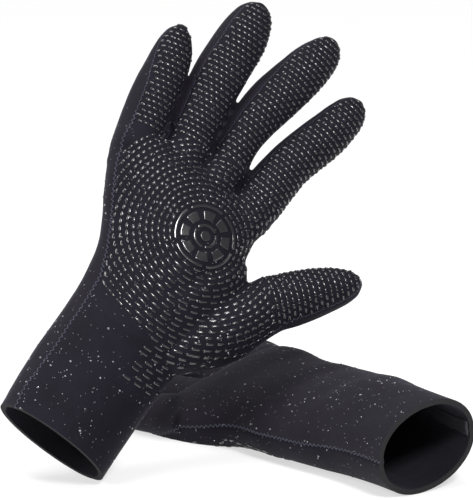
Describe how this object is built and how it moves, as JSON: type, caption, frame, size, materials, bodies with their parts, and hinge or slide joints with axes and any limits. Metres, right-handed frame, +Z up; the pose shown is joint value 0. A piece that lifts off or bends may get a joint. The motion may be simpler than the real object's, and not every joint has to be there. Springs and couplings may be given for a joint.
{
  "type": "sailing gloves",
  "caption": "Pair of full-finger neoprene sailing gloves with long cuffs, printed rubber grip on palms and fingers and blind-stitched seams; every finger flexes.",
  "frame": {"origin": "on the table, under the centre of the pair", "axes": "+Z up; the gloves are seen from the front along +Y, with +X to the right; the right glove leans over the left one, palm towards the front"},
  "size_m": [0.2504, 0.2704, 0.2448],
  "materials": {
    "palm_neoprene": "matte fine jersey knit bonded to neoprene",
    "back_neoprene": "matte fine jersey knit bonded to neoprene",
    "grip_print": "satin printed rubber",
    "seam_thread": "matte dark blue polyester thread",
    "seam_tape": "matte tape melted over the seam"
  },
  "bodies": {
    "left_hand": {"left_palm_panel": "palm_neoprene", "left_back_panel": "back_neoprene", "left_palm_grip": "grip_print", "left_palm_pad": "grip_print", "left_outer_seam": "seam_thread", "left_thumb_side_seam": "seam_thread", "left_seam_tape": "seam_tape"},
    "left_thumb": {"left_thumb_front": "palm_neoprene", "left_thumb_back": "back_neoprene", "left_thumb_seam": "seam_thread", "left_thumb_grip": "grip_print"},
    "left_index": {"left_index_front": "palm_neoprene", "left_index_back": "back_neoprene", "left_index_seam": "seam_thread", "left_index_grip": "grip_print"},
    "left_middle": {"left_middle_front": "palm_neoprene", "left_middle_back": "back_neoprene", "left_middle_seam": "seam_thread", "left_middle_grip": "grip_print"},
    "left_ring": {"left_ring_front": "palm_neoprene", "left_ring_back": "back_neoprene", "left_ring_seam": "seam_thread", "left_ring_grip": "grip_print"},
    "left_little": {"left_little_front": "palm_neoprene", "left_little_back": "back_neoprene", "left_little_seam": "seam_thread", "left_little_grip": "grip_print"},
    "right_hand": {"right_palm_panel": "palm_neoprene", "right_back_panel": "back_neoprene", "right_palm_grip": "grip_print", "right_palm_pad": "grip_print", "right_outer_seam": "seam_thread", "right_thumb_side_seam": "seam_thread", "right_seam_tape": "seam_tape"},
    "right_thumb": {"right_thumb_front": "palm_neoprene", "right_thumb_back": "back_neoprene", "right_thumb_seam": "seam_thread", "right_thumb_grip": "grip_print"},
    "right_index": {"right_index_front": "palm_neoprene", "right_index_back": "back_neoprene", "right_index_seam": "seam_thread", "right_index_grip": "grip_print"},
    "right_middle": {"right_middle_front": "palm_neoprene", "right_middle_back": "back_neoprene", "right_middle_seam": "seam_thread", "right_middle_grip": "grip_print"},
    "right_ring": {"right_ring_front": "palm_neoprene", "right_ring_back": "back_neoprene", "right_ring_seam": "seam_thread", "right_ring_grip": "grip_print"},
    "right_little": {"right_little_front": "palm_neoprene", "right_little_back": "back_neoprene", "right_little_seam": "seam_thread", "right_little_grip": "grip_print"}
  },
  "joints": [
    {"name": "right_glove_lift", "type": "slide", "parent": "left_hand", "child": "right_hand", "axis": [0, 0, 1], "range_m": [0, 0.1]},
    {"name": "right_thumb_flex", "type": "hinge", "parent": "right_hand", "child": "right_thumb", "pos_m": [0.0285, -0.03984, 0.08674], "axis": [0.2361, -0.3617, -0.9019], "range_deg": [0, 40], "stiffness_Nm_per_rad": 0.01},
    {"name": "right_index_flex", "type": "hinge", "parent": "right_hand", "child": "right_index", "pos_m": [0.01908, -0.01183, 0.13783], "axis": [0.706, -0.0753, -0.7042], "range_deg": [0, 75], "stiffness_Nm_per_rad": 0.01},
    {"name": "right_middle_flex", "type": "hinge", "parent": "right_hand", "child": "right_middle", "pos_m": [0.00132, -0.00832, 0.15876], "axis": [0.7478, -0.0378, -0.6628], "range_deg": [0, 75], "stiffness_Nm_per_rad": 0.01},
    {"name": "right_ring_flex", "type": "hinge", "parent": "right_hand", "child": "right_ring", "pos_m": [-0.02276, -0.01075, 0.17288], "axis": [0.8577, 0.0845, -0.5071], "range_deg": [0, 75], "stiffness_Nm_per_rad": 0.01},
    {"name": "right_little_flex", "type": "hinge", "parent": "right_hand", "child": "right_little", "pos_m": [-0.04984, -0.01627, 0.18206], "axis": [0.8989, 0.1489, -0.412], "range_deg": [0, 75], "stiffness_Nm_per_rad": 0.01},
    {"name": "left_thumb_spread", "type": "hinge", "parent": "left_hand", "child": "left_thumb", "pos_m": [0.07515, 0.03868, 0.02172], "axis": [0.2621, 0.1637, -0.9511], "range_deg": [0, 35], "stiffness_Nm_per_rad": 0.01},
    {"name": "left_index_lift", "type": "hinge", "parent": "left_hand", "child": "left_index", "pos_m": [0.01491, 0.04662, 0.04244], "axis": [0.8724, 0.3811, 0.306], "range_deg": [0, 30], "stiffness_Nm_per_rad": 0.01},
    {"name": "left_middle_lift", "type": "hinge", "parent": "left_hand", "child": "left_middle", "pos_m": [-0.01023, 0.03857, 0.03413], "axis": [0.8415, 0.4436, 0.3083], "range_deg": [0, 30], "stiffness_Nm_per_rad": 0.01},
    {"name": "left_ring_lift", "type": "hinge", "parent": "left_hand", "child": "left_ring", "pos_m": [-0.03016, 0.02082, 0.02558], "axis": [0.7137, 0.6304, 0.3052], "range_deg": [0, 30], "stiffness_Nm_per_rad": 0.01},
    {"name": "left_little_lift", "type": "hinge", "parent": "left_hand", "child": "left_little", "pos_m": [-0.04742, -0.00294, 0.02213], "axis": [0.6292, 0.7182, 0.2971], "range_deg": [0, 30], "stiffness_Nm_per_rad": 0.01}
  ]
}
